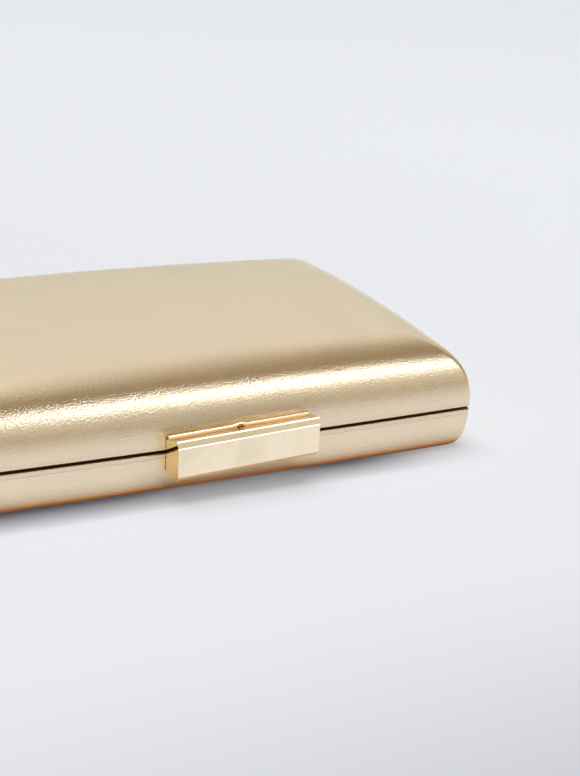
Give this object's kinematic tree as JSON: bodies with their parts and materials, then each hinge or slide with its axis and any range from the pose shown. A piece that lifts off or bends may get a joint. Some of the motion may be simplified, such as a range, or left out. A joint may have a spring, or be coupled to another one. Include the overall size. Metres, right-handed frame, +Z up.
{
  "type": "hard-shell box clutch bag",
  "caption": "Hard-shell box clutch bag: two pillow-shaped metallic leatherette halves, hinged at the rear, with a polished bar latch at the front and a lined inside.",
  "frame": {"origin": "middle of the flat underside, on the surface that the bag lies on", "axes": "+X along the length to the right as seen from the latch side, +Y to the rear where the hinges are, +Z up through the lid"},
  "size_m": [0.203, 0.14, 0.0473],
  "materials": {
    "leatherette": "metallic champagne gold with a fine crinkle grain",
    "foam": "thin open foam sheet",
    "shell_plastic": "moulded, matte",
    "lining_fabric": "woven satin lining on card",
    "pocket_fabric": "woven satin panel",
    "frame_metal": "plated, satin",
    "hinge_metal": "plated, polished",
    "pin_metal": "plated, drawn",
    "rivet_metal": "plated, polished",
    "polished_gold": "cast, polished and gold plated",
    "spring_steel": "tempered strip"
  },
  "bodies": {
    "base": {"lower_cover": "leatherette", "lower_padding": "foam", "lower_shell": "shell_plastic", "lower_lining": "lining_fabric", "lower_frame": "frame_metal", "left_base_leaf": "hinge_metal", "right_base_leaf": "hinge_metal", "left_hinge_pin": "pin_metal", "right_hinge_pin": "pin_metal", "base_leaf_rivets": "rivet_metal", "latch_plate": "polished_gold", "latch_plate_rivets": "rivet_metal", "latch_spring": "spring_steel"},
    "lid": {"upper_cover": "leatherette", "upper_padding": "foam", "upper_shell": "shell_plastic", "upper_lining": "lining_fabric", "upper_frame": "frame_metal", "left_lid_leaf": "hinge_metal", "right_lid_leaf": "hinge_metal", "lid_leaf_rivets": "rivet_metal", "catch_plate": "polished_gold", "catch_plate_rivets": "rivet_metal", "slip_pocket": "pocket_fabric"},
    "latch": {"latch_bar": "polished_gold", "latch_pin": "pin_metal"}
  },
  "joints": [
    {"name": "lid_hinge", "type": "hinge", "parent": "base", "child": "lid", "pos_m": [0, 0.0658, 0.0168], "axis": [-1, 0, 0], "range_deg": [0, 100]},
    {"name": "latch_pivot", "type": "hinge", "parent": "base", "child": "latch", "pos_m": [0.00024, -0.0652, 0.0109], "axis": [0.9992, 0, 0.0401], "range_deg": [0, 70], "stiffness_Nm_per_rad": 0.02, "springref_deg": -17.19}
  ]
}
